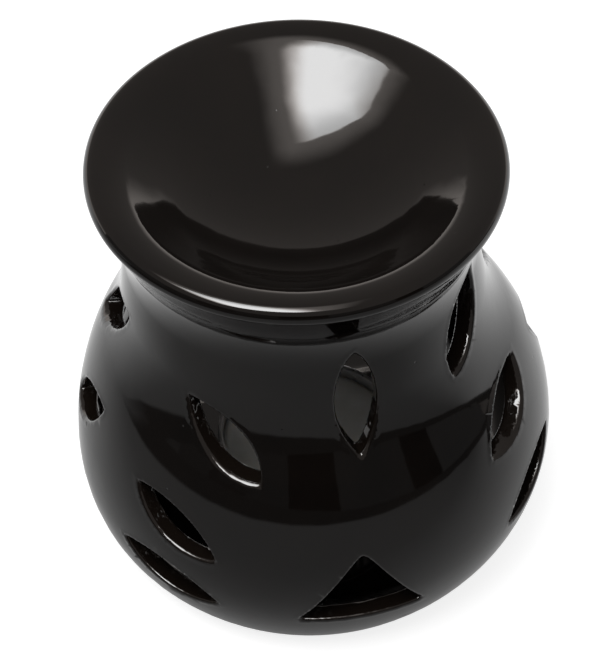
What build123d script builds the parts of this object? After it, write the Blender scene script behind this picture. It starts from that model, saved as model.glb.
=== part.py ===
from build123d import *
import os
from math import asin, atan2, cos, hypot, pi, radians, sin

os.makedirs("parts", exist_ok=True)

# Essential oil burner: one glazed ceramic shell, a globe with cut openings whose neck
# flares into a shallow dish, and the tea light that slides in through the arch behind.
# Millimetres and degrees. The foot's middle is the origin, +Z is up, and the cut flower
# on the front faces -Y. Every outline below is drawn as radius and height.

# Globe and neck, from the foot up
belly_radius = 50.0
belly_height = 25.2
lower_curve = 36.0
foot_curve = 3.5
shoulder_share = 0.341
neck_radius = 34.6
neck_length = 16.0
neck_lean = radians(8.3)
wall = 4.0
floor_thickness = 5.0
floor_curve = 3.0
ceiling_curve = 1.0

# Dish on the neck
burner_height = 101.0
flare_height = 16.8
crease_curve = 4.0
lip_radius = 41.6
lip_thickness = 4.8
lip_roll = 10.0
dish_slope = radians(36.9)
dish_curve = 42.0

# Cut openings
petal_length = 23.0
petal_width = 8.5
triangle_width = 26.0
triangle_height = 20.5
triangle_sill = 17.4
triangle_corner = 1.2
triangle_azimuth = -1.5
arch_width = 50.0
arch_share = 0.475
arch_azimuth = 180.0
overrun = 2.0

# Each petal's place, cut by hand, so no two are quite alike: its azimuth from the front,
# its turn from level, its height as a share of the crease's height, and its length and
# width as shares of the petal sizes above
front_petal_shares = (
    (0.6, 90.0, 0.820, 1.08, 1.00),
    (-39.0, -36.2, 0.695, 0.97, 0.97),
    (46.4, 55.9, 0.862, 0.97, 1.17),
    (-49.0, -25.0, 0.432, 0.98, 1.02),
    (50.5, 23.8, 0.577, 0.97, 1.00),
    (-50.9, -11.6, 0.242, 1.06, 1.04),
    (52.8, 23.2, 0.335, 1.02, 1.17),
)
side_petal_shares = (
    (-101.3, 40.3, 0.716, 1.18, 0.94),
    (-93.4, 35.0, 0.474, 0.96, 0.97),
)
rear_petal_shares = ((180.0, 90.0, 0.820, 1.08, 1.00),)

# Tea light
cup_radius = 19.0
cup_height = 15.0
cup_wall = 0.3
cup_corner = 1.2
cup_rim_width = 0.8
cup_rim_thickness = 0.6
wax_depth = 12.0
wax_corner = 0.8
wax_gap = 0.1
tab_radius = 6.5
tab_thickness = 0.3
tab_collar_radius = 1.4
tab_collar_height = 3.0
tab_gap = 0.1
wick_radius = 0.75
wick_gap = 0.05
wick_rise = 5.5
wick_lean = 22.0


def at_angle(centre, radius, angle):
    """The point of a circle at an angle, counted from outwards towards up."""
    return centre + Vector(cos(angle), sin(angle)) * radius


def round_stretch(centre, radius, start, end):
    """The stretch of a circle from one angle to another."""
    points = [at_angle(centre, radius, angle) for angle in (start, (start + end) / 2, end)]
    return ThreePointArc(*points)


upright = (Align.CENTER, Align.CENTER, Align.MIN)

# Where the tea light stands, and its wax
cup_bottom = floor_thickness
wax_bottom = cup_bottom + cup_wall
wax_top = wax_bottom + wax_depth

# The crease where the neck turns out into the dish, where the neck's straight part starts,
# and the height of the arch, which keeps under the rear petal
crease = Vector(neck_radius, burner_height - flare_height)
neck_way = Vector(-sin(neck_lean), cos(neck_lean))
neck_start = crease - neck_way * neck_length
arch_height = arch_share * crease.Y

# Where the globe's lower curve, the lip's bead and the lip's roll into the dish have their centres
lower_centre = Vector(belly_radius - lower_curve, belly_height)
lip_curve = lip_thickness / 2
lip_centre = Vector(lip_radius - lip_curve, burner_height - lip_curve)
roll_centre = Vector(lip_centre.X, burner_height - lip_roll)

# The dish's side runs straight from the roll down to the round bottom, and touches both
dish_way = Vector(cos(dish_slope), sin(dish_slope))
dish_normal = Vector(-sin(dish_slope), cos(dish_slope))
side_top = roll_centre + dish_normal * lip_roll
side_run = (side_top.X - dish_curve * sin(dish_slope)) / cos(dish_slope)
side_foot = side_top - dish_way * side_run
dish_centre = Vector(0, side_foot.Y + dish_curve * cos(dish_slope))
dish_floor_height = dish_centre.Y - dish_curve


def shoulder_bend(belly):
    """Where the globe's curve turns from round to hollow between the belly and the neck."""
    up = Vector(0, 1)
    span = neck_start - belly
    first = shoulder_share * span.length
    spare = span.dot(span) / 2 - first * span.dot(up)
    second = spare / (span.dot(neck_way) + first * (1 - up.dot(neck_way)))
    below = belly + up * first
    above = neck_start - neck_way * second
    return (below * second + above * first) / (first + second)


def moved_in(edge, inset):
    """A round edge of the globe, moved inwards by inset."""
    points = []
    for share in (0, 0.5, 1):
        way = edge % share
        points.append(edge @ share + Vector(-way.Y, way.X) * inset)
    return ThreePointArc(*points)


def globe_edges(inset, start):
    """The globe's curves from the start angle up to the neck, moved inwards by inset."""
    belly = Vector(belly_radius, belly_height)
    lower = round_stretch(lower_centre, lower_curve - inset, -start, 0)
    bend = shoulder_bend(belly)
    upper = TangentArc(belly, bend, tangent=(0, 1))
    shoulder = TangentArc(bend, neck_start, tangent=upper % 1)
    return [lower, moved_in(upper, inset), moved_in(shoulder, inset)]


def turned(edges, eased_corners):
    """A solid of revolution about Z, with some corners of its outline rounded."""
    outline = make_face(edges)
    for corner, radius in eased_corners:
        vertex = outline.vertices().sort_by_distance((corner.X, corner.Y, 0))[0]
        outline = fillet(vertex, radius)
    return revolve(Plane.XZ * outline, Axis.Z)


def outer_form():
    """The burner's outside, with the dish already hollow."""
    start = asin((belly_height - foot_curve) / (lower_curve - foot_curve))
    foot_centre = at_angle(lower_centre, lower_curve - foot_curve, -start)
    base_end = Vector(foot_centre.X, 0)
    foot = round_stretch(foot_centre, foot_curve, -pi / 2, -start)
    globe = globe_edges(0, start)
    neck = Line(neck_start, crease)
    to_lip = lip_centre - crease
    reach = hypot(to_lip.X, to_lip.Y)
    flare_rise = atan2(to_lip.Y, to_lip.X) - asin(lip_curve / reach)
    flare_end = at_angle(lip_centre, lip_curve, flare_rise - pi / 2)
    flare = Line(crease, flare_end)
    bead = round_stretch(lip_centre, lip_curve, flare_rise - pi / 2, pi / 2)
    roll = round_stretch(roll_centre, lip_roll, pi / 2, pi / 2 + dish_slope)
    side = Line(side_top, side_foot)
    bottom = round_stretch(dish_centre, dish_curve, dish_slope - pi / 2, -pi / 2)
    middle = Line((0, dish_floor_height), (0, 0))
    base = Line((0, 0), base_end)
    edges = [base, foot, *globe, neck, flare, bead, roll, side, bottom, middle]
    return turned(edges, [(crease, crease_curve)])


def cavity_form():
    """The room for the tea light, under the dish."""
    start = asin((belly_height - floor_thickness) / (lower_curve - wall))
    globe = globe_edges(wall, start)
    neck_foot = globe[-1] @ 1
    underside = dish_normal.dot(side_top) - wall
    neck_run = (underside - dish_normal.dot(neck_foot)) / dish_normal.dot(neck_way)
    ceiling_corner = neck_foot + neck_way * neck_run
    neck = Line(neck_foot, ceiling_corner)
    side = Line(ceiling_corner, side_foot - dish_normal * wall)
    bottom = round_stretch(dish_centre, dish_curve + wall, dish_slope - pi / 2, -pi / 2)
    middle = Line((0, dish_floor_height - wall), (0, floor_thickness))
    floor_corner = globe[0] @ 0
    room_floor = Line((0, floor_thickness), floor_corner)
    edges = [room_floor, *globe, neck, side, bottom, middle]
    return turned(edges, [(floor_corner, floor_curve), (ceiling_corner, ceiling_curve)])


def cut_through_wall(outline, azimuth, height, end_radius):
    """A cutter that runs level through the wall, from outside in to end_radius."""
    outward = Vector(sin(radians(azimuth)), -cos(radians(azimuth)))
    sideways = Vector(cos(radians(azimuth)), sin(radians(azimuth)))
    start_radius = belly_radius + overrun
    origin = outward * start_radius + Vector(0, 0, height)
    face_outwards = Plane(origin=origin, x_dir=sideways, z_dir=outward)
    return extrude(face_outwards * outline, amount=end_radius - start_radius)


def petal_outline(length, width, turn):
    """A pointed leaf between two arcs, turned from level."""
    left = Vector(-length / 2, 0)
    right = Vector(length / 2, 0)
    above = ThreePointArc(left, (0, width / 2), right)
    below = ThreePointArc(right, (0, -width / 2), left)
    return Rotation(0, 0, turn) * make_face([above, below])


def triangle_outline():
    """The vent at the front, standing on its base, with eased corners."""
    half = triangle_width / 2
    outline = make_face(Polyline((-half, 0), (half, 0), (0, triangle_height), close=True))
    return fillet(outline.vertices(), triangle_corner)


def arch_outline():
    """The mouth behind, straight at the sides and round on top."""
    half = arch_width / 2
    spring = arch_height - half
    sides = Polyline((-half, spring), (-half, 0), (half, 0), (half, spring))
    top = ThreePointArc((half, spring), (0, arch_height), (-half, spring))
    return make_face([*sides.edges(), top])


def mirrored(petals):
    """The same petals on the other side of the front's midline."""
    return tuple((-azimuth, -turn, *shares) for azimuth, turn, *shares in petals)


def burner_body():
    """The whole ceramic shell: globe, neck and dish in one, with its openings cut."""
    body = outer_form() - cavity_form()
    end_radius = neck_radius - 2 * wall
    petals = front_petal_shares + side_petal_shares + mirrored(side_petal_shares) + rear_petal_shares
    for azimuth, turn, height_share, length_share, width_share in petals:
        outline = petal_outline(length_share * petal_length, width_share * petal_width, turn)
        body -= cut_through_wall(outline, azimuth, height_share * crease.Y, end_radius)
    body -= cut_through_wall(triangle_outline(), triangle_azimuth, triangle_sill, end_radius)
    body -= cut_through_wall(arch_outline(), arch_azimuth, floor_thickness, end_radius)
    return body


def eased_plug(radius, height, corner, bottom):
    """A round plug with an eased lower edge, standing on the height called bottom."""
    plug = Pos(0, 0, bottom) * Cylinder(radius, height, align=upright)
    return fillet(plug.edges().filter_by(GeomType.CIRCLE).sort_by(Axis.Z)[0], corner)


def candle_cup():
    """The drawn aluminium cup with its rolled rim."""
    cup = eased_plug(cup_radius, cup_height, cup_corner, cup_bottom)
    rim_bottom = cup_bottom + cup_height - cup_rim_thickness
    cup += Pos(0, 0, rim_bottom) * Cylinder(cup_radius + cup_rim_width, cup_rim_thickness, align=upright)
    corner = cup_corner - cup_wall
    return cup - eased_plug(cup_radius - cup_wall, cup_height, corner, wax_bottom)


def wick_tab(gap=0):
    """The tin plate foot that holds the wick, or the room for it in the wax."""
    plate = Cylinder(tab_radius + gap, tab_thickness + gap, align=upright)
    collar = Cylinder(tab_collar_radius + gap, tab_collar_height + gap, align=upright)
    tab = Pos(0, 0, wax_bottom) * (plate + collar)
    if gap:
        return tab
    hole = Cylinder(wick_radius + wick_gap, tab_collar_height, align=upright)
    return tab - Pos(0, 0, wax_bottom) * hole


def candle_wick(gap=0):
    """The braided wick: upright in the wax, leaning over above it."""
    bend_start = Vector(0, 0, wax_top + wick_rise / 2)
    lean = radians(wick_lean)
    lean_radius = wick_rise / 2 / sin(lean)
    tip = bend_start + Vector(lean_radius * (1 - cos(lean)), 0, wick_rise / 2)
    stem = Line((0, 0, wax_bottom), bend_start)
    path = Wire([stem, TangentArc(bend_start, tip, tangent=(0, 0, 1))])
    return sweep(Pos(0, 0, wax_bottom) * Circle(wick_radius + gap), path)


def candle_wax():
    """The wax, cast round the wick and its tab."""
    wax = eased_plug(cup_radius - cup_wall - wax_gap, wax_depth, wax_corner, wax_bottom)
    return wax - wick_tab(tab_gap) - candle_wick(wick_gap)


for name, piece in (
    ("burner_body", burner_body()),
    ("candle_cup", candle_cup()),
    ("candle_wax", candle_wax()),
    ("wick_tab", wick_tab()),
    ("candle_wick", candle_wick()),
):
    export_step(piece, f"parts/{name}.step")
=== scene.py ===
from math import asin, atan2, cos, hypot, radians, sin, tau

import bmesh
import bpy
from mathutils import Matrix, Vector


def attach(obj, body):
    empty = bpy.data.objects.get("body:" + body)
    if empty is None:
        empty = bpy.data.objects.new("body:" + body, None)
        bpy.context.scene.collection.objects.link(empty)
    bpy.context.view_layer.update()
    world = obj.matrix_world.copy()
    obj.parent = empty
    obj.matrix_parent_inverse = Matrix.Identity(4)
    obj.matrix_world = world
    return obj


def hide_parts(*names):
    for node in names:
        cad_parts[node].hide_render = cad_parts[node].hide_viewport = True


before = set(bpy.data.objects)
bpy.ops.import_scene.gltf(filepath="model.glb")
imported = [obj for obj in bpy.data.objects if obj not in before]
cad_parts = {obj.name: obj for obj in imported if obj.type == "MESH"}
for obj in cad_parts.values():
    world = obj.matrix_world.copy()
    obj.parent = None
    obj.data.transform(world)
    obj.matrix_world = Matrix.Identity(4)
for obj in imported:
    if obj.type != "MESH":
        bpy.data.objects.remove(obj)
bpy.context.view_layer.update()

# The burner is one piece of slip-cast clay: globe, neck and dish. Its leaves, its vent and the
# arch behind were cut through the soft wall by hand. Then all of it but the foot was dipped in
# black glaze, which runs round every cut edge.
mm = 0.001
belly_radius = 50.0 * mm
belly_height = 25.2 * mm
lower_curve = 36.0 * mm
foot_curve = 3.5 * mm
shoulder_share = 0.341
neck_radius = 34.6 * mm
neck_length = 16.0 * mm
neck_lean = radians(8.3)
wall = 4.0 * mm
floor_thickness = 5.0 * mm
floor_curve = 3.0 * mm
ceiling_curve = 1.5 * mm
burner_height = 101.0 * mm
flare_height = 16.8 * mm
crease_curve = 4.0 * mm
lip_radius = 41.6 * mm
lip_thickness = 4.8 * mm
lip_roll = 10.0 * mm
dish_slope = radians(36.9)
dish_curve = 42.0 * mm
foot_ease = 5.0 * mm
roll_ease = 1.5 * mm
leaf_length = 23.0 * mm
leaf_width = 8.5 * mm
tip_curve = 0.35 * mm
vent_width = 26.0 * mm
vent_height = 20.5 * mm
vent_sill = 17.4 * mm
vent_corner = 1.2 * mm
vent_azimuth = radians(-1.5)
arch_width = 50.0 * mm
arch_height = 40.0 * mm
edge_curve = 0.8 * mm
dish_shift = Vector((-2.09, 0.50)) * mm
belly_shift = Vector((0.85, -0.20)) * mm
ripple = 0.25 * mm
ripple_size = 45.0 * mm
dish_lean_heights = (38 * mm, 95 * mm)
belly_lean_heights = (4 * mm, 30 * mm)
belly_upright_heights = (34 * mm, 62 * mm)
clay_step = 0.45 * mm
clay_evenness = 0.01
settling_rounds = 3
least_steepness = 0.3

# Each leaf's azimuth from the front, its turn from level, its height, and its length and width
# as shares of the leaf sizes above
front_leaves = (
    (0.6, 90.0, 69.0 * mm, 1.08, 1.00),
    (-39.0, -36.2, 58.5 * mm, 0.97, 0.97),
    (46.4, 55.9, 72.6 * mm, 0.97, 1.17),
    (-49.0, -25.0, 36.4 * mm, 0.98, 1.02),
    (50.5, 23.8, 48.6 * mm, 0.97, 1.00),
    (-50.9, -11.6, 20.4 * mm, 1.06, 1.04),
    (52.8, 23.2, 28.2 * mm, 1.02, 1.17),
)
left_leaves = (
    (-101.3, 40.3, 60.3 * mm, 1.18, 0.94),
    (-93.4, 35.0, 39.9 * mm, 0.96, 0.97),
)
right_leaves = tuple((-azimuth, -turn, *rest) for azimuth, turn, *rest in left_leaves)
rear_leaves = ((180.0, 90.0, 69.0 * mm, 1.08, 1.00),)
all_leaves = front_leaves + left_leaves + right_leaves + rear_leaves


def worked_out(tree, kind, *values):
    """One math node's answer, from plain numbers and other answers."""
    node = tree.nodes.new("ShaderNodeMath")
    node.operation = kind
    for place, value in enumerate(values):
        if isinstance(value, Answer):
            tree.links.new(value.socket, node.inputs[place])
        else:
            node.inputs[place].default_value = value
    return Answer(tree, node.outputs[0])


class Answer:
    """What a node puts out, so that nodes can be joined by an ordinary formula."""

    def __init__(self, tree, socket):
        self.tree = tree
        self.socket = socket

    def __add__(self, other):
        return worked_out(self.tree, "ADD", self, other)

    def __sub__(self, other):
        return worked_out(self.tree, "SUBTRACT", self, other)

    def __rsub__(self, other):
        return worked_out(self.tree, "SUBTRACT", other, self)

    def __mul__(self, other):
        return worked_out(self.tree, "MULTIPLY", self, other)

    def __truediv__(self, other):
        return worked_out(self.tree, "DIVIDE", self, other)

    def __neg__(self):
        return worked_out(self.tree, "MULTIPLY", self, -1.0)

    def __abs__(self):
        return worked_out(self.tree, "ABSOLUTE", self)

    def or_more(self, other):
        return worked_out(self.tree, "MAXIMUM", self, other)

    def or_less(self, other):
        return worked_out(self.tree, "MINIMUM", self, other)

    def above(self, other):
        return worked_out(self.tree, "GREATER_THAN", self, other)

    def root(self):
        return worked_out(self.tree, "SQRT", self)

    def sine(self):
        return worked_out(self.tree, "SINE", self)

    def cosine(self):
        return worked_out(self.tree, "COSINE", self)

    def eased(self, start, end):
        """Nought below start, one above end, and a smooth slope between them."""
        node = self.tree.nodes.new("ShaderNodeMapRange")
        node.interpolation_type = "SMOOTHSTEP"
        self.tree.links.new(self.socket, node.inputs["Value"])
        node.inputs["From Min"].default_value = start
        node.inputs["From Max"].default_value = end
        return Answer(self.tree, node.outputs["Result"])


def reach(across, up):
    """The length of the slanted line that goes this far across and up."""
    return (across * across + up * up).root()


def either(test, no, yes):
    """One answer where the test fails, and the other where it holds."""
    return test * (yes - no) + no


def shared(first, second, curve):
    """The distance to what two shapes share, with the edge between them rounded."""
    corner = reach((first + curve).or_more(0), (second + curve).or_more(0))
    return first.or_more(second).or_less(-curve) + corner


def joined(first, second, curve):
    """The distance to two shapes together, with the corner between them filled."""
    return -shared(-first, -second, curve)


def new_tree(name, inputs, outputs, kind="GeometryNodeTree"):
    """A node tree with its sockets, and the two nodes that stand for them inside it."""
    tree = bpy.data.node_groups.new(name, kind)
    for socket_name, socket_kind, value in inputs:
        socket = tree.interface.new_socket(socket_name, in_out="INPUT", socket_type=socket_kind)
        if value is not None:
            socket.default_value = value
    for socket_name, socket_kind in outputs:
        tree.interface.new_socket(socket_name, in_out="OUTPUT", socket_type=socket_kind)
    return tree, tree.nodes.new("NodeGroupInput"), tree.nodes.new("NodeGroupOutput")


def placed(tree, group, **values):
    """A group put down in a tree, with its inputs joined or set."""
    node = tree.nodes.new("GeometryNodeGroup")
    node.node_tree = group
    for name, value in values.items():
        socket = node.inputs[name.replace("_", " ").capitalize()]
        if isinstance(value, Answer):
            tree.links.new(value.socket, socket)
        else:
            socket.default_value = value
    return node


def split(tree, vector_socket):
    """A vector's three numbers."""
    node = tree.nodes.new("ShaderNodeSeparateXYZ")
    tree.links.new(vector_socket, node.inputs[0])
    return [Answer(tree, output) for output in node.outputs]


# How far a point is from the sides of one cut leaf, less than nothing inside the cut
leaf_cut, given, found = new_tree(
    "Leaf cut",
    [
        ("Place", "NodeSocketVector", None),
        ("Azimuth", "NodeSocketFloat", 0.0),
        ("Turn", "NodeSocketFloat", 0.0),
        ("Height", "NodeSocketFloat", 0.0),
        ("Length", "NodeSocketFloat", leaf_length),
        ("Width", "NodeSocketFloat", leaf_width),
        ("Depth", "NodeSocketFloat", 0.0),
    ],
    [("Distance", "NodeSocketFloat")],
)
place_x, place_y, place_z = split(leaf_cut, given.outputs["Place"])
azimuth, turn, height, length, width, depth = [
    Answer(leaf_cut, given.outputs[name])
    for name in ("Azimuth", "Turn", "Height", "Length", "Width", "Depth")
]
outward = place_x * azimuth.sine() - place_y * azimuth.cosine()
sideways = place_x * azimuth.cosine() + place_y * azimuth.sine()
upward = place_z - height
along = sideways * turn.cosine() + upward * turn.sine()
across = upward * turn.cosine() - sideways * turn.sine()
side_curve = (length * length + width * width) / (width * 4.0)
blunt_across = reach(across, tip_curve)
leaf_side = reach(along, blunt_across + side_curve - width * 0.5) - side_curve
leaf_cut.links.new(leaf_side.or_more(depth - outward).socket, found.inputs["Distance"])


# The outline's circles and corners, as radius and height
belly = Vector((belly_radius, belly_height))
lower_centre = belly - Vector((lower_curve, 0))
crease = Vector((neck_radius, burner_height - flare_height))
neck_way = Vector((-sin(neck_lean), cos(neck_lean)))
neck_foot = crease - neck_way * neck_length

# Two arcs run from the belly to the neck's foot, the first round and the second hollow, with one
# slope where they meet at the bend
span = neck_foot - belly
first_run = shoulder_share * span.length
second_run = (span.length_squared / 2 - first_run * span.y) / (
    span.dot(neck_way) + first_run * (1 - neck_way.y)
)
below_bend = belly + Vector((0, first_run))
above_bend = neck_foot - neck_way * second_run
bend = (below_bend * second_run + above_bend * first_run) / (first_run + second_run)
bend_rise = bend - belly
upper_curve = -bend_rise.length_squared / (2 * bend_rise.x)
upper_centre = belly - Vector((upper_curve, 0))
bend_out = (bend - upper_centre) / upper_curve
bend_way = Vector((-bend_out.y, bend_out.x))
neck_rise = neck_foot - bend
hollow_curve = neck_rise.length_squared / (2 * neck_rise.dot(bend_out))
hollow_centre = bend + bend_out * hollow_curve

lip_curve = lip_thickness / 2
lip_centre = Vector((lip_radius - lip_curve, burner_height - lip_curve))
roll_centre = Vector((lip_centre.x, burner_height - lip_roll))
dish_way = Vector((cos(dish_slope), sin(dish_slope)))
dish_up = Vector((-dish_way.y, dish_way.x))
side_top = roll_centre + dish_up * lip_roll
side_foot = side_top - dish_way * (side_top.x - dish_curve * dish_way.y) / dish_way.x
dish_centre = side_foot + dish_up * dish_curve
to_lip = lip_centre - crease
flare_slope = atan2(to_lip.y, to_lip.x) - asin(lip_curve / to_lip.length)
flare_way = Vector((cos(flare_slope), sin(flare_slope)))
flare_out = Vector((flare_way.y, -flare_way.x))


def from_circle(radius, height, centre):
    """How far a point is from a circle's centre."""
    return reach(radius - centre.x, height - centre.y)


def past(radius, height, start, way):
    """How far a point lies beyond start, counted along way."""
    return (radius - start.x) * way.x + (height - start.y) * way.y


# The sizes that the next three trees take in
clay_sizes = [
    ("Wall", "NodeSocketFloat", wall),
    ("Floor thickness", "NodeSocketFloat", floor_thickness),
    ("Leaf length", "NodeSocketFloat", leaf_length),
    ("Leaf width", "NodeSocketFloat", leaf_width),
    ("Edge curve", "NodeSocketFloat", edge_curve),
]
size_names = [name for name, kind, value in clay_sizes]

# How far a point is from the burner's surface, less than nothing inside the clay
clay, given, found = new_tree(
    "Clay",
    [("Place", "NodeSocketVector", None), *clay_sizes],
    [("Distance", "NodeSocketFloat"), ("Cut distance", "NodeSocketFloat")],
)
place = Answer(clay, given.outputs["Place"])
wall_size, floor_size, leaf_long, leaf_wide, edge_size = [
    Answer(clay, given.outputs[name]) for name in size_names
]
place_x, place_y, place_z = split(clay, place.socket)
dish_part = place_z.eased(*dish_lean_heights)
belly_part = place_z.eased(*belly_lean_heights) - place_z.eased(*belly_upright_heights)
centred_x = place_x - dish_part * dish_shift.x - belly_part * belly_shift.x
centred_y = place_y - dish_part * dish_shift.y - belly_part * belly_shift.y
noise = clay.nodes.new("ShaderNodeTexNoise")
noise.inputs["Scale"].default_value = 1 / ripple_size
noise.inputs["Detail"].default_value = 0.0
clay.links.new(place.socket, noise.inputs["Vector"])
radius = reach(centred_x, centred_y) + (Answer(clay, noise.outputs["Fac"]) - 0.5) * (2 * ripple)

lower_side = from_circle(radius, place_z, lower_centre) - lower_curve
upper_side = from_circle(radius, place_z, upper_centre) - upper_curve
hollow_side = hollow_curve - from_circle(radius, place_z, hollow_centre)
neck_side = past(radius, place_z, crease, Vector((neck_way.y, -neck_way.x)))
globe_side = either(place_z.above(belly_height), lower_side, upper_side)
globe_side = either(past(radius, place_z, bend, bend_way).above(0), globe_side, hollow_side)
globe_side = either(past(radius, place_z, neck_foot, neck_way).above(0), globe_side, neck_side)
flare_side = past(radius, place_z, crease, flare_out)
dish_air = either(
    past(radius, place_z, side_foot, dish_way).eased(-foot_ease, foot_ease),
    dish_curve - from_circle(radius, place_z, dish_centre),
    past(radius, place_z, side_foot, dish_up),
)
dish_air = either(
    past(radius, place_z, side_top, dish_way).eased(-roll_ease, roll_ease),
    dish_air,
    from_circle(radius, place_z, roll_centre) - lip_roll,
)
outside = shared(joined(globe_side, flare_side, crease_curve), -place_z, foot_curve)
outside = outside.or_more(dish_air)
on_bead = past(radius, place_z, lip_centre, flare_way).above(0) * radius.above(lip_centre.x)
outside = either(on_bead, outside, from_circle(radius, place_z, lip_centre) - lip_curve)
room = shared(globe_side + wall_size, floor_size - place_z, floor_curve)
room = shared(room, dish_air + wall_size, ceiling_curve)

vent_side = place_x * cos(vent_azimuth) + place_y * sin(vent_azimuth)
vent_depth = place_x * sin(vent_azimuth) - place_y * cos(vent_azimuth)
vent_rise = place_z - vent_sill
slant = hypot(vent_height, vent_width / 2)
blunt_side = reach(vent_side, vent_corner)
vent_slope = (blunt_side * vent_height + vent_rise * (vent_width / 2)) / slant
vent = shared(vent_slope - vent_height * vent_width / 2 / slant, -vent_rise, vent_corner)
cut_depth = neck_radius - 2 * wall
cuts = vent.or_more(cut_depth - vent_depth)
arch_spring = floor_size + (arch_height - arch_width / 2)
arch = reach(place_x, (place_z - arch_spring).or_more(0)) - arch_width / 2
arch = arch.or_more(floor_size - place_z).or_more(cut_depth - place_y)
cuts = cuts.or_less(arch)
for azimuth, turn, height, length_share, width_share in all_leaves:
    leaf = placed(
        clay,
        leaf_cut,
        place=place,
        azimuth=radians(azimuth),
        turn=radians(turn),
        height=height,
        length=leaf_long * length_share,
        width=leaf_wide * width_share,
        depth=cut_depth,
    )
    cuts = cuts.or_less(Answer(clay, leaf.outputs["Distance"]))
air = joined(room, cuts, edge_size)
clay.links.new(shared(outside, -air, edge_size).socket, found.inputs["Distance"])
clay.links.new(abs(cuts).socket, found.inputs["Cut distance"])

# The way from a point straight out of the clay, and how steeply the distance grows that way
clay_slope, given, found = new_tree(
    "Clay slope",
    [("Place", "NodeSocketVector", None), *clay_sizes],
    [("Slope", "NodeSocketVector")],
)
feel = 0.12 * mm
slope = clay_slope.nodes.new("ShaderNodeCombineXYZ")
for axis in range(3):
    sides = []
    for reach_out in (feel, -feel):
        move = clay_slope.nodes.new("ShaderNodeVectorMath")
        clay_slope.links.new(given.outputs["Place"], move.inputs[0])
        offset = [0.0, 0.0, 0.0]
        offset[axis] = reach_out
        move.inputs[1].default_value = offset
        side = placed(clay_slope, clay)
        clay_slope.links.new(move.outputs[0], side.inputs["Place"])
        for name in size_names:
            clay_slope.links.new(given.outputs[name], side.inputs[name])
        sides.append(Answer(clay_slope, side.outputs["Distance"]))
    steepness = (sides[0] - sides[1]) / (2 * feel)
    clay_slope.links.new(steepness.socket, slope.inputs[axis])
clay_slope.links.new(slope.outputs[0], found.inputs["Slope"])

burner_tree, given, found = new_tree(
    "Burner",
    [
        ("Geometry", "NodeSocketGeometry", None),
        *clay_sizes,
        ("Clay step", "NodeSocketFloat", clay_step),
        ("Evenness", "NodeSocketFloat", clay_evenness),
        ("Glaze", "NodeSocketMaterial", None),
    ],
    [("Geometry", "NodeSocketGeometry")],
)


def dressed(tree, geometry, material, output):
    """Ends a tree: what it made becomes one real mesh, in the material that the tree is given."""
    real = tree.nodes.new("GeometryNodeRealizeInstances")
    tree.links.new(geometry, real.inputs["Geometry"])
    dress = tree.nodes.new("GeometryNodeSetMaterial")
    tree.links.new(real.outputs["Geometry"], dress.inputs["Geometry"])
    tree.links.new(material, dress.inputs["Material"])
    tree.links.new(dress.outputs["Geometry"], output)


def at_place(group):
    """A clay group in the burner's tree, at the place of each point and with the tree's sizes."""
    node = placed(burner_tree, group)
    spot = burner_tree.nodes.new("GeometryNodeInputPosition")
    burner_tree.links.new(spot.outputs[0], node.inputs["Place"])
    for name in size_names:
        burner_tree.links.new(given.outputs[name], node.inputs[name])
    return node


margin = 3 * mm
outside_density = -1.0
low = Vector((-belly_radius - margin, -belly_radius - margin, -margin))
high = Vector((belly_radius + margin, belly_radius + margin, burner_height + margin))
step = Answer(burner_tree, given.outputs["Clay step"])
block = burner_tree.nodes.new("GeometryNodeVolumeCube")
block.inputs["Min"].default_value = low
block.inputs["Max"].default_value = high
block.inputs["Background"].default_value = outside_density
for axis, name in enumerate("XYZ"):
    count = worked_out(burner_tree, "DIVIDE", high[axis] - low[axis], step)
    burner_tree.links.new(count.socket, block.inputs[f"Resolution {name}"])
inside = -Answer(burner_tree, at_place(clay).outputs["Distance"]) / step
burner_tree.links.new(inside.socket, block.inputs["Density"])
skin = burner_tree.nodes.new("GeometryNodeVolumeToMesh")
skin.inputs["Threshold"].default_value = 0.0
burner_tree.links.new(given.outputs["Evenness"], skin.inputs["Adaptivity"])
burner_tree.links.new(block.outputs["Volume"], skin.inputs["Volume"])
last = skin.outputs["Mesh"]
for settling in range(settling_rounds):
    gap = Answer(burner_tree, at_place(clay).outputs["Distance"])
    way = at_place(clay_slope)
    steep = burner_tree.nodes.new("ShaderNodeVectorMath")
    steep.operation = "DOT_PRODUCT"
    burner_tree.links.new(way.outputs["Slope"], steep.inputs[0])
    burner_tree.links.new(way.outputs["Slope"], steep.inputs[1])
    share = -gap / Answer(burner_tree, steep.outputs["Value"]).or_more(least_steepness)
    move = burner_tree.nodes.new("ShaderNodeVectorMath")
    move.operation = "SCALE"
    burner_tree.links.new(way.outputs["Slope"], move.inputs[0])
    burner_tree.links.new(share.socket, move.inputs["Scale"])
    settle = burner_tree.nodes.new("GeometryNodeSetPosition")
    burner_tree.links.new(last, settle.inputs["Geometry"])
    burner_tree.links.new(move.outputs[0], settle.inputs["Offset"])
    last = settle.outputs["Geometry"]
smooth = burner_tree.nodes.new("GeometryNodeSetShadeSmooth")
burner_tree.links.new(last, smooth.inputs["Geometry"])
straight = burner_tree.nodes.new("ShaderNodeVectorMath")
straight.operation = "NORMALIZE"
burner_tree.links.new(at_place(clay_slope).outputs["Slope"], straight.inputs[0])
normals = burner_tree.nodes.new("GeometryNodeSetMeshNormal")
normals.mode = "FREE"
normals.domain = "POINT"
burner_tree.links.new(smooth.outputs["Geometry"], normals.inputs["Mesh"])
burner_tree.links.new(straight.outputs[0], normals.inputs["Custom Normal"])
edge = burner_tree.nodes.new("GeometryNodeStoreNamedAttribute")
edge.data_type = "FLOAT"
edge.domain = "POINT"
edge.inputs["Name"].default_value = "cut_distance"
burner_tree.links.new(normals.outputs["Mesh"], edge.inputs["Geometry"])
cut_distance = at_place(clay).outputs["Cut distance"]
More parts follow.
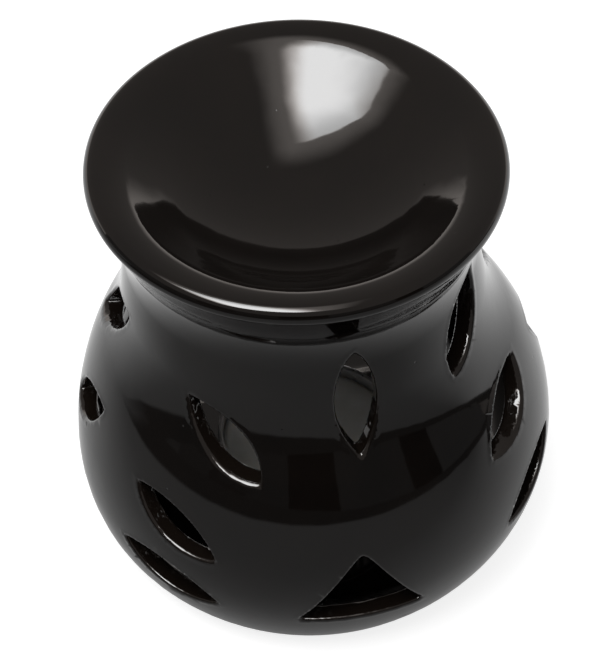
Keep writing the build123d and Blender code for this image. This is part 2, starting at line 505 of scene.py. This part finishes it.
burner_tree.links.new(cut_distance, edge.inputs["Value"])
dressed(burner_tree, edge.outputs["Geometry"], given.outputs["Glaze"], found.inputs["Geometry"])


def linked(name, data):
    """An object that shows this data, put in the scene."""
    made = bpy.data.objects.new(name, data)
    bpy.context.scene.collection.objects.link(made)
    return made


def grown(name, tree, start=None, **inputs):
    """A plain mesh object made by a geometry tree, from nothing or from a start mesh."""
    seed = linked(name + "_seed", start or bpy.data.meshes.new(name + "_seed"))
    modifier = seed.modifiers.new("shape", "NODES")
    modifier.node_group = tree
    for socket in tree.interface.items_tree:
        if socket.in_out == "INPUT" and socket.name in inputs:
            modifier[socket.identifier] = inputs[socket.name]
    view = bpy.context.evaluated_depsgraph_get()
    mesh = bpy.data.meshes.new_from_object(seed.evaluated_get(view), depsgraph=view)
    mesh.name = name
    bpy.data.objects.remove(seed)
    return linked(name, mesh)


def shader_node(material, kind, **values):
    """A node of a material, with its inputs joined to answers or set to plain values."""
    node = material.node_tree.nodes.new(kind)
    for name, value in values.items():
        socket = node.inputs[name.replace("_", " ")]
        if isinstance(value, bpy.types.NodeSocket):
            material.node_tree.links.new(value, socket)
        elif isinstance(value, Answer):
            material.node_tree.links.new(value.socket, socket)
        else:
            socket.default_value = value
    return node


def finish(name):
    """A material with one plain glossy shader, and that shader."""
    material = bpy.data.materials.new(name)
    material.use_nodes = True
    return material, material.node_tree.nodes["Principled BSDF"]


def mixed_colour(tree, share, first, second):
    """The first colour turned into the second by a share."""
    blend = tree.nodes.new("ShaderNodeMix")
    blend.data_type = "RGBA"
    sockets = {socket.identifier: socket for socket in blend.inputs}
    tree.links.new(share.socket, sockets["Factor_Float"])
    for identifier, colour in (("A_Color", first), ("B_Color", second)):
        if isinstance(colour, bpy.types.NodeSocket):
            tree.links.new(colour, sockets[identifier])
        else:
            sockets[identifier].default_value = colour
    return next(socket for socket in blend.outputs if socket.identifier == "Result_Color")


# Any finish that is a little uneven: a tone and a smoothness that drift over the surface, and a
# fine grain that stands up from it
patch_detail = 3.0
grain_detail = 2.0
drift_range = (0.3, 0.7)
uneven, given, found = new_tree(
    "Uneven finish",
    [
        ("Place", "NodeSocketVector", None),
        ("Patch size", "NodeSocketFloat", 10 * mm),
        ("Grain size", "NodeSocketFloat", 1 * mm),
        ("Dark tone", "NodeSocketColor", None),
        ("Light tone", "NodeSocketColor", None),
        ("Smooth", "NodeSocketFloat", 0.2),
        ("Rough", "NodeSocketFloat", 0.4),
    ],
    [
        ("Tone", "NodeSocketColor"),
        ("Roughness", "NodeSocketFloat"),
        ("Height", "NodeSocketFloat"),
    ],
    "ShaderNodeTree",
)
noises = []
for name, detail in (("Patch size", patch_detail), ("Grain size", grain_detail)):
    noise = uneven.nodes.new("ShaderNodeTexNoise")
    noise.inputs["Detail"].default_value = detail
    uneven.links.new(given.outputs["Place"], noise.inputs["Vector"])
    per_metre = worked_out(uneven, "DIVIDE", 1.0, Answer(uneven, given.outputs[name]))
    uneven.links.new(per_metre.socket, noise.inputs["Scale"])
    noises.append(Answer(uneven, noise.outputs["Fac"]))
patch, grain = noises
drift = patch.eased(*drift_range)
tone = mixed_colour(uneven, drift, given.outputs["Dark tone"], given.outputs["Light tone"])
uneven.links.new(tone, found.inputs["Tone"])
rough_part = (drift + grain) * 0.5
smooth_end, rough_end = [Answer(uneven, given.outputs[name]) for name in ("Smooth", "Rough")]
uneven.links.new(either(rough_part, smooth_end, rough_end).socket, found.inputs["Roughness"])
uneven.links.new(grain.socket, found.inputs["Height"])


def uneven_finish(material, shader, relief, **values):
    """Puts the uneven finish on a shader, with its grain raised by relief."""
    spot = shader_node(material, "ShaderNodeTexCoord")
    group = material.node_tree.nodes.new("ShaderNodeGroup")
    group.node_tree = uneven
    material.node_tree.links.new(spot.outputs["Object"], group.inputs["Place"])
    for name, value in values.items():
        group.inputs[name.replace("_", " ").capitalize()].default_value = value
    raised = shader_node(
        material, "ShaderNodeBump", Height=group.outputs["Height"], Distance=relief
    )
    material.node_tree.links.new(group.outputs["Tone"], shader.inputs["Base Color"])
    material.node_tree.links.new(group.outputs["Roughness"], shader.inputs["Roughness"])
    material.node_tree.links.new(raised.outputs[0], shader.inputs["Normal"])
    return spot, group, raised


# The glaze pools soft and smooth. It has a few pinholes, lies thinner and rippled on the cut
# flanks, and ends just above the bare foot.
glaze_ior = 1.52
glaze_relief = 0.04 * mm
glaze_dark = (0.0028, 0.0021, 0.0018, 1)
glaze_light = (0.0039, 0.0028, 0.0023, 1)
thin_glaze = (0.0062, 0.0044, 0.0034, 1)
bare_clay = (0.42, 0.35, 0.28, 1)
thin_width = 0.9 * mm
ripple_width = 2.0 * mm
ripple_spacing = 2.2 * mm
ripple_depth = 0.16 * mm
bare_height = 0.6 * mm
bare_edge_share = 0.6
bare_roughness = 0.85
pinhole_spacing = 4.5 * mm
pinhole_radius = 0.26 * mm
pinhole_depth = 0.10 * mm
spots_without_pinhole_share = 0.80

glaze, gloss = finish("black glaze")
gloss.inputs["IOR"].default_value = glaze_ior
spot, mottle, skin_relief = uneven_finish(
    glaze,
    gloss,
    glaze_relief,
    patch_size=14 * mm,
    grain_size=9 * mm,
    dark_tone=glaze_dark,
    light_tone=glaze_light,
    smooth=0.035,
    rough=0.075,
)
tree = glaze.node_tree
place_x, place_y, place_z = split(tree, spot.outputs["Object"])
holes = shader_node(glaze, "ShaderNodeTexVoronoi", Vector=spot.outputs["Object"])
holes.inputs["Scale"].default_value = 1 / pinhole_spacing
hole_reach = Answer(tree, holes.outputs["Distance"]) * pinhole_spacing
hole_choice = split(tree, holes.outputs["Color"])[0]
chosen = hole_choice.above(spots_without_pinhole_share)
pinhole = (1.0 - hole_reach.eased(0.0, pinhole_radius)) * chosen
pit = shader_node(glaze, "ShaderNodeBump", Height=1.0 - pinhole, Distance=pinhole_depth)
tree.links.new(skin_relief.outputs[0], pit.inputs["Normal"])
cut_near = shader_node(glaze, "ShaderNodeAttribute")
cut_near.attribute_name = "cut_distance"
from_cut = Answer(tree, cut_near.outputs["Fac"])
thin = 1.0 - from_cut.eased(0.0, thin_width)
swell = shader_node(glaze, "ShaderNodeTexNoise", Vector=spot.outputs["Object"], Detail=1.0)
swell.inputs["Scale"].default_value = 1 / ripple_spacing
off_floor = place_z.eased(floor_thickness, floor_thickness + ripple_width)
running = Answer(tree, swell.outputs["Fac"]) * (1.0 - from_cut.eased(0.0, ripple_width)) * off_floor
running_relief = shader_node(glaze, "ShaderNodeBump", Height=running, Distance=ripple_depth)
tree.links.new(pit.outputs[0], running_relief.inputs["Normal"])
tree.links.new(running_relief.outputs[0], gloss.inputs["Normal"])
bare = 1.0 - place_z.eased(bare_height * bare_edge_share, bare_height)
last_tone = mottle.outputs["Tone"]
for share, tone in ((thin, thin_glaze), (bare, bare_clay)):
    last_tone = mixed_colour(tree, share, last_tone, tone)
tree.links.new(last_tone, gloss.inputs["Base Color"])
dull = either(bare, Answer(tree, mottle.outputs["Roughness"]), bare * bare_roughness)
tree.links.new(dull.socket, gloss.inputs["Roughness"])

burner = grown("glazed_burner", burner_tree, Glaze=glaze)
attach(burner, "burner")
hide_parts("burner_body")

# The tea light's cup is drawn from aluminium foil. Its side is pressed into fine upright ribs that
# stiffen it, and its top edge is rolled over outwards.
cup_radius = 19.0 * mm
cup_height = 15.0 * mm
cup_wall = 0.3 * mm
cup_corner = 1.2 * mm
rim_width = 0.8 * mm
rim_thickness = 0.6 * mm
rib_count = 64
rib_depth = 0.28 * mm
rib_margin = 1.6 * mm
wall_spacing = 1.1 * mm
steps_per_rib = 6
foil_relief = 0.03 * mm
cup_bottom = floor_thickness
wax_bottom = cup_bottom + cup_wall
cup_top = cup_bottom + cup_height


def with_round_corners(points, curve, steps=5):
    """An outline, with each corner between its ends cut off at curve and rounded."""
    points = [Vector(point) for point in points]
    smooth = [points[0]]
    for before, corner, after in zip(points, points[1:], points[2:]):
        start = corner + (before - corner).normalized() * min(curve, (before - corner).length / 2)
        end = corner + (after - corner).normalized() * min(curve, (after - corner).length / 2)
        for step in range(steps + 1):
            share = step / steps
            smooth.append(start.lerp(corner, share).lerp(corner.lerp(end, share), share))
    return smooth + [points[-1]]


def with_points_up_walls(points, spacing):
    """An outline with more points along its upright stretches, for the ribs to move."""
    full = [points[0]]
    for before, after in zip(points, points[1:]):
        count = max(1, round(abs(after.y - before.y) / spacing))
        full += [before.lerp(after, step / count) for step in range(1, count + 1)]
    return full


def turned_mesh(name, outline, steps):
    """A closed mesh made by turning an outline of radius and height round the upright axis."""
    shape = bmesh.new()
    spots = [shape.verts.new((point.x, 0, point.y)) for point in outline]
    lines = [shape.edges.new(pair) for pair in zip(spots, spots[1:])]
    bmesh.ops.spin(
        shape, geom=spots + lines, cent=(0, 0, 0), axis=(0, 0, 1), angle=tau, steps=steps
    )
    bmesh.ops.remove_doubles(shape, verts=shape.verts, dist=mm / 1000)
    bmesh.ops.recalc_face_normals(shape, faces=shape.faces)
    for face in shape.faces:
        face.smooth = True
    mesh = bpy.data.meshes.new(name)
    shape.to_mesh(mesh)
    shape.free()
    return mesh


rim_edge = cup_radius + rim_width
inner_radius = cup_radius - cup_wall
cup_outline = with_round_corners(
    [
        (0, wax_bottom),
        (inner_radius, wax_bottom),
        (inner_radius, cup_top),
        (rim_edge, cup_top),
        (rim_edge, cup_top - rim_thickness),
        (cup_radius, cup_top - rim_thickness),
        (cup_radius, cup_bottom + cup_corner),
        (cup_radius - cup_corner, cup_bottom),
        (0, cup_bottom),
    ],
    rim_thickness / 2,
)
cup_outline = with_points_up_walls(cup_outline, wall_spacing)
ribs, given, found = new_tree(
    "Ribs",
    [
        ("Geometry", "NodeSocketGeometry", None),
        ("Rib count", "NodeSocketFloat", rib_count),
        ("Rib depth", "NodeSocketFloat", rib_depth),
        ("Foil", "NodeSocketMaterial", None),
    ],
    [("Geometry", "NodeSocketGeometry")],
)
place_x, place_y, place_z = split(ribs, ribs.nodes.new("GeometryNodeInputPosition").outputs[0])
radius = reach(place_x, place_y)
rib_turn = worked_out(ribs, "ARCTAN2", place_y, place_x) * Answer(ribs, given.outputs["Rib count"])
on_side = radius.above(cup_radius - 2 * cup_wall) * place_z.eased(
    cup_bottom + rib_margin, cup_bottom + 2 * rib_margin
)
on_side = on_side * (1.0 - place_z.eased(cup_top - 2 * rib_margin, cup_top - rib_margin))
bulge = (rib_turn.cosine() + 1.0) * 0.5 * Answer(ribs, given.outputs["Rib depth"]) * on_side
outwards = ribs.nodes.new("ShaderNodeCombineXYZ")
ribs.links.new((place_x / radius.or_more(mm) * bulge).socket, outwards.inputs[0])
ribs.links.new((place_y / radius.or_more(mm) * bulge).socket, outwards.inputs[1])
press = ribs.nodes.new("GeometryNodeSetPosition")
ribs.links.new(given.outputs["Geometry"], press.inputs["Geometry"])
ribs.links.new(outwards.outputs[0], press.inputs["Offset"])
dressed(ribs, press.outputs["Geometry"], given.outputs["Foil"], found.inputs["Geometry"])

foil, shine = finish("drawn aluminium foil")
shine.inputs["Metallic"].default_value = 1.0
uneven_finish(
    foil,
    shine,
    foil_relief,
    patch_size=9 * mm,
    grain_size=0.9 * mm,
    dark_tone=(0.70, 0.70, 0.71, 1),
    light_tone=(0.83, 0.83, 0.84, 1),
    smooth=0.24,
    rough=0.42,
)
plain_cup = turned_mesh("plain_cup", cup_outline, rib_count * steps_per_rib)
cup = grown("ribbed_cup", ribs, plain_cup, Foil=foil)
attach(cup, "tea_light")
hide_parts("candle_cup")

# White paraffin wax, poured into the cup round the wick. It shrank as it set, so it climbs a
# little at the foil and sinks towards the middle.
wax_depth = 12.0 * mm
wax_corner = 0.8 * mm
wax_gap = 0.1 * mm
wax_sink = 0.9 * mm
foil_climb_share = 0.8
foil_climb_power = 6
wick_climb_share = 0.25
wick_climb_power = 10
bowl_share = 0.2
wax_top = wax_bottom + wax_depth
wax_radius = inner_radius - wax_gap
wick_radius = 0.75 * mm
surface_steps = 24
wax_turn_steps = 128
wax_ior = 1.43
wax_relief = 0.05 * mm

wax_surface = []
for step in range(surface_steps + 1):
    share = step / surface_steps
    foil_climb = foil_climb_share * share**foil_climb_power
    wick_climb = wick_climb_share * (1 - share) ** wick_climb_power
    climb = min(foil_climb + wick_climb + bowl_share * share**2, 1)
    wax_surface.append((share * wax_radius, wax_top - wax_sink * (1 - climb)))
wax_base = [
    (wax_radius, wax_bottom + wax_corner),
    (wax_radius - wax_corner, wax_bottom),
    (0, wax_bottom),
]
wax_outline = [Vector(point) for point in wax_surface + wax_base]

wax, waxen = finish("paraffin wax")
waxen.inputs["Subsurface Weight"].default_value = 0.6
waxen.inputs["Subsurface Radius"].default_value = (1.0, 0.9, 0.75)
waxen.inputs["Subsurface Scale"].default_value = 1.5 * mm
waxen.inputs["IOR"].default_value = wax_ior
uneven_finish(
    wax,
    waxen,
    wax_relief,
    patch_size=6 * mm,
    grain_size=1.4 * mm,
    dark_tone=(0.72, 0.70, 0.65, 1),
    light_tone=(0.84, 0.82, 0.78, 1),
    smooth=0.30,
    rough=0.50,
)
wax_mesh = turned_mesh("poured_wax", wax_outline, wax_turn_steps)
wax_mesh.materials.append(wax)
wax_fill = linked("poured_wax", wax_mesh)
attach(wax_fill, "tea_light")
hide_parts("candle_wax")

# The wick's foot is a disc of tin plate under the wax. Its middle is drawn up into a collar that
# grips the wick.
tab_radius = 6.5 * mm
tab_thickness = 0.3 * mm
collar_radius = 1.4 * mm
collar_height = 3.0 * mm
wick_gap = 0.05 * mm
tab_turn_steps = 96
tin_relief = 0.01 * mm
grip_radius = wick_radius + wick_gap
tab_outline = with_round_corners(
    [
        (grip_radius, wax_bottom + collar_height / 2),
        (grip_radius, wax_bottom + collar_height),
        (collar_radius, wax_bottom + collar_height),
        (collar_radius, wax_bottom + tab_thickness),
        (tab_radius, wax_bottom + tab_thickness),
        (tab_radius, wax_bottom),
        (grip_radius, wax_bottom),
        (grip_radius, wax_bottom + collar_height / 2),
    ],
    tab_thickness / 2,
)
tin, dull_shine = finish("tin plate")
dull_shine.inputs["Metallic"].default_value = 1.0
uneven_finish(
    tin,
    dull_shine,
    tin_relief,
    patch_size=4 * mm,
    grain_size=0.4 * mm,
    dark_tone=(0.54, 0.54, 0.52, 1),
    light_tone=(0.66, 0.66, 0.64, 1),
    smooth=0.28,
    rough=0.45,
)
tab_mesh = turned_mesh("wick_foot", tab_outline, tab_turn_steps)
tab_mesh.materials.append(tin)
tab = linked("wick_foot", tab_mesh)
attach(tab, "tea_light")
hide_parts("wick_tab")

# The wick is a cord of three cotton strands, waxed stiff. It stands in the wax and leans over at
# the top.
wick_rise = 5.5 * mm
wick_lean = radians(22.0)
strand_count = 3
strand_radius = 0.40 * mm
strand_reach = 0.35 * mm
strand_pitch = 3.2 * mm
strand_spacing = 0.12 * mm
strand_sides = 12
cotton_relief = 0.06 * mm
bend_steps = 12

bend_start = wax_top + wick_rise / 2
lean_radius = wick_rise / 2 / sin(wick_lean)
wick_path = [Vector((0, 0, wax_bottom)), Vector((0, 0, bend_start))]
for step in range(1, bend_steps + 1):
    angle = wick_lean * step / bend_steps
    rise = Vector((lean_radius * (1 - cos(angle)), 0, lean_radius * sin(angle)))
    wick_path.append(wick_path[1] + rise)
wick_length = bend_start - wax_bottom + lean_radius * wick_lean
path_mesh = bpy.data.meshes.new("wick_path")
path_mesh.from_pydata(wick_path, [(n, n + 1) for n in range(len(wick_path) - 1)], [])

braid, given, found = new_tree(
    "Braid",
    [
        ("Geometry", "NodeSocketGeometry", None),
        ("Strand radius", "NodeSocketFloat", strand_radius),
        ("Strand reach", "NodeSocketFloat", strand_reach),
        ("Turns", "NodeSocketFloat", wick_length / strand_pitch),
        ("Cotton", "NodeSocketMaterial", None),
    ],
    [("Geometry", "NodeSocketGeometry")],
)
line = braid.nodes.new("GeometryNodeMeshToCurve")
braid.links.new(given.outputs["Geometry"], line.inputs[0])
even_line = braid.nodes.new("GeometryNodeResampleCurve")
even_line.mode = "LENGTH"
even_line.inputs["Length"].default_value = strand_spacing
braid.links.new(line.outputs[0], even_line.inputs["Curve"])
along_line = braid.nodes.new("GeometryNodeSplineParameter")
lengthwise = braid.nodes.new("GeometryNodeInputTangent")
outwards = braid.nodes.new("GeometryNodeInputNormal")
bundle = braid.nodes.new("GeometryNodeJoinGeometry")
for strand in range(strand_count):
    turn_part = Answer(braid, along_line.outputs["Factor"]) * Answer(braid, given.outputs["Turns"])
    turn_node = braid.nodes.new("ShaderNodeVectorRotate")
    turn_node.rotation_type = "AXIS_ANGLE"
    braid.links.new(outwards.outputs[0], turn_node.inputs["Vector"])
    braid.links.new(lengthwise.outputs[0], turn_node.inputs["Axis"])
    angle = turn_part * tau + tau * strand / strand_count
    braid.links.new(angle.socket, turn_node.inputs["Angle"])
    move = braid.nodes.new("ShaderNodeVectorMath")
    move.operation = "SCALE"
    braid.links.new(turn_node.outputs[0], move.inputs[0])
    braid.links.new(given.outputs["Strand reach"], move.inputs["Scale"])
    wind = braid.nodes.new("GeometryNodeSetPosition")
    braid.links.new(even_line.outputs[0], wind.inputs["Geometry"])
    braid.links.new(move.outputs[0], wind.inputs["Offset"])
    round_form = braid.nodes.new("GeometryNodeCurvePrimitiveCircle")
    round_form.inputs["Resolution"].default_value = strand_sides
    braid.links.new(given.outputs["Strand radius"], round_form.inputs["Radius"])
    tube = braid.nodes.new("GeometryNodeCurveToMesh")
    tube.inputs["Fill Caps"].default_value = True
    braid.links.new(wind.outputs["Geometry"], tube.inputs["Curve"])
    braid.links.new(round_form.outputs[0], tube.inputs["Profile Curve"])
    braid.links.new(tube.outputs[0], bundle.inputs[0])
dressed(braid, bundle.outputs[0], given.outputs["Cotton"], found.inputs["Geometry"])

cotton, waxed = finish("waxed cotton")
uneven_finish(
    cotton,
    waxed,
    cotton_relief,
    patch_size=2 * mm,
    grain_size=0.15 * mm,
    dark_tone=(0.66, 0.63, 0.55, 1),
    light_tone=(0.84, 0.82, 0.76, 1),
    smooth=0.55,
    rough=0.85,
)
wick = grown("braided_wick", braid, path_mesh, Cotton=cotton)
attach(wick, "tea_light")
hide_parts("candle_wick")

# The burner stands on a plain white table in a pale, warm room. A wide softbox hangs over its
# left front side. The camera's end of the room, past the table's edge, is dark: cards stand
# there, which show only in the glaze.
white = (1, 1, 1, 1)
black = (0, 0, 0, 1)
room_colour = (1.09, 1.0, 0.94, 1)


def ray_kind(tree, kind):
    """One for rays of this kind, and nought for the others."""
    return Answer(tree, tree.nodes.new("ShaderNodeLightPath").outputs[kind])


def seen_straight(tree):
    """One for what the camera sees, straight or through something, and nought for the rest."""
    return ray_kind(tree, "Is Camera Ray").or_more(ray_kind(tree, "Is Transmission Ray"))


def object_place(material):
    """Where a point is on its object, as three numbers."""
    spot = material.node_tree.nodes.new("ShaderNodeTexCoord")
    return split(material.node_tree, spot.outputs["Object"])


def glowing(name):
    """A material that gives off light, white unless it is told another, and reflects none."""
    material, shader = finish(name)
    shader.inputs["Base Color"].default_value = black
    shader.inputs["Specular IOR Level"].default_value = 0.0
    shader.inputs["Emission Color"].default_value = white
    return material, shader


def sheet(name, corners, material, only_mirrored=True):
    """A flat sheet of the studio; one that is only mirrored neither lights nor shades a thing."""
    mesh = bpy.data.meshes.new(name)
    mesh.from_pydata(corners, [], [tuple(range(len(corners)))])
    mesh.materials.append(material)
    made = linked(name, mesh)
    made.visible_camera = not only_mirrored
    made.visible_diffuse = not only_mirrored
    made.visible_shadow = not only_mirrored


# The softbox is dimmer towards its back edge, with a faint haze past its right and back edges. No
# part of its sheet is darker in the glaze than the room overhead.
softbox_height = 1.3
softbox_corners = ((-1.20, -0.85), (0.04, 0.0))
softbox_glow = 17.0
softbox_fade = 0.50
softbox_fade_width = 0.42
left_edge_width = 0.45
right_edge_width = 0.30
front_edge_width = 0.05
back_edge_width = 0.02
haze_glow = 1.2
haze_width = 0.30
sky_gloss = 0.27

light, shader = glowing("softbox")
box_x, box_y = object_place(light)[:2]
(left, front), (right, back) = softbox_corners
across_box = box_x.eased(left, left + left_edge_width)
across_box = across_box * (1.0 - box_x.eased(right - right_edge_width, right))
inside = across_box * box_y.eased(front, front + front_edge_width)
inside = inside * (1.0 - box_y.eased(back - back_edge_width, back))
haze = 1.0 - (box_x - right).eased(0.0, haze_width)
haze = haze * (1.0 - (box_y - back).eased(0.0, haze_width))
faded = 1.0 - box_y.eased(back - softbox_fade_width, back) * softbox_fade
level = inside * faded * softbox_glow + haze * (1.0 - inside) * haze_glow + sky_gloss
light.node_tree.links.new(level.socket, shader.inputs["Emission Strength"])
hue = mixed_colour(light.node_tree, inside, room_colour, white)
light.node_tree.links.new(hue, shader.inputs["Emission Color"])
right += haze_width
back += haze_width
corners = ((left, front), (right, front), (right, back), (left, back))
sheet("softbox", [(x, y, softbox_height) for x, y in corners], light)

# One lamp at the softbox's height lights what it hangs over, and isn't mirrored in the glaze
key_place = (-0.40, -0.33)
key_width = 0.78
key_glow = 6.6
watts_per_glow_and_area = 4
key_data = bpy.data.lights.new("key", "AREA")
key_data.size = key_width
key_data.energy = watts_per_glow_and_area * key_width**2 * key_glow
key = linked("key", key_data)
key.location = (*key_place, softbox_height)
key.visible_glossy = False

# Where each dark card starts and ends, in degrees from the front, and how brightly it glows
dark_cards = (
    (-114.0, -76.0, 0.100),
    (-76.0, -60.0, 0.065),
    (-60.0, -42.0, 0.035),
    (-42.0, -23.0, 0.065),
    (-23.0, -1.0, 0.008),
    (-1.0, 31.0, 0.085),
    (31.0, 45.0, 0.010),
    (45.0, 74.0, 0.120),
)
card_distance = 0.9
card_height = 0.34
for number, (left, right, brightness) in enumerate(dark_cards):
    card, shader = glowing(f"dark card {number}")
    shader.inputs["Emission Strength"].default_value = brightness
    ends = [
        (card_distance * sin(radians(side)), -card_distance * cos(radians(side)))
        for side in (left, right)
    ]
    foot_corners = [(*end, 0) for end in ends]
    top_corners = [(*end, card_height) for end in reversed(ends)]
    sheet(f"dark_card_{number}", foot_corners + top_corners, card)

# The room is white where the camera sees it. In the glaze it is warm, and brighter low down on
# the far side.
room_light = 0.4
seen_room = 1.0
far_gloss = 1.0
horizon_rise = (0.03, 0.22)
far_side = (-0.2, 0.5)

room = bpy.data.worlds.new("room")
room.use_nodes = True
bpy.context.scene.world = room
tree = room.node_tree
way_y, way_z = split(tree, tree.nodes.new("ShaderNodeTexCoord").outputs["Generated"])[1:]
horizon = (1.0 - abs(way_z).eased(*horizon_rise)) * way_y.eased(*far_side)
mirrored = horizon * (far_gloss - sky_gloss) + sky_gloss
glossy = ray_kind(tree, "Is Glossy Ray")
level = either(seen_straight(tree), either(glossy, room_light, mirrored), seen_room)
tree.links.new(level.socket, tree.nodes["Background"].inputs["Strength"])
hue = mixed_colour(tree, glossy, white, room_colour)
tree.links.new(hue, tree.nodes["Background"].inputs["Color"])

# The table is white where the camera sees it. In the glaze it is pale round the burner, brightest
# behind it, and dark past a round edge in front.
table_size = 3.0
table_tone = 0.42
table_roughness = 0.8
table_glow = 0.8
near_gloss = 0.26
dark_gloss = 0.05
pale_centre = Vector((0.18, 0.06))
pale_radius = 0.42
pale_edge_width = 0.015
pale_behind = (0.02, 0.10)
bright_behind = (-0.11, 0.09)
bright_slant_share = 0.35
left_slant_share = 0.3

table, matt = finish("white table")
matt.inputs["Roughness"].default_value = table_roughness
matt.inputs["Specular IOR Level"].default_value = 0.0
matt.inputs["Emission Color"].default_value = white
tree = table.node_tree
place_x, place_y = object_place(table)[:2]
slanted = place_y + place_x * bright_slant_share - (-place_x).or_more(0) * left_slant_share
behind = slanted.eased(*bright_behind)
from_pale = reach(place_x - pale_centre.x, place_y - pale_centre.y)
pale = 1.0 - from_pale.eased(pale_radius - pale_edge_width, pale_radius + pale_edge_width)
pale = pale.or_more(place_y.eased(*pale_behind))
glossy = ray_kind(tree, "Is Glossy Ray")
tone = either(glossy, table_tone, pale * near_gloss)
in_gloss = behind * pale * (far_gloss - near_gloss) + (1.0 - pale) * dark_gloss
glow = seen_straight(tree) * table_glow + glossy * in_gloss
grey = tree.nodes.new("ShaderNodeCombineColor")
for name in ("Red", "Green", "Blue"):
    tree.links.new(tone.socket, grey.inputs[name])
tree.links.new(grey.outputs[0], matt.inputs["Base Color"])
tree.links.new(glow.socket, matt.inputs["Emission Strength"])
half = table_size / 2
corners = ((-half, -half), (half, -half), (half, half), (-half, half))
sheet("table", [(x, y, 0) for x, y in corners], table, only_mirrored=False)

# The camera looks steeply down from in front, and a little from the left, through a long lens
camera_place = Vector((-96.5, -394.0, 493.5)) * mm
camera_aim = Vector((-1.83, 0.44, 51.32)) * mm
camera_roll = radians(-0.75)
camera_lens = 158.4
nearest_seen = 1 * mm
camera_data = bpy.data.cameras.new("camera")
camera_data.lens = camera_lens
camera_data.clip_start = nearest_seen
camera = linked("camera", camera_data)
facing = (camera_aim - camera_place).to_track_quat("-Z", "Y")
camera.rotation_euler = (facing.to_matrix() @ Matrix.Rotation(camera_roll, 3, "Z")).to_euler()
camera.location = camera_place
bpy.context.scene.camera = camera
bpy.context.scene.view_settings.view_transform = "Standard"
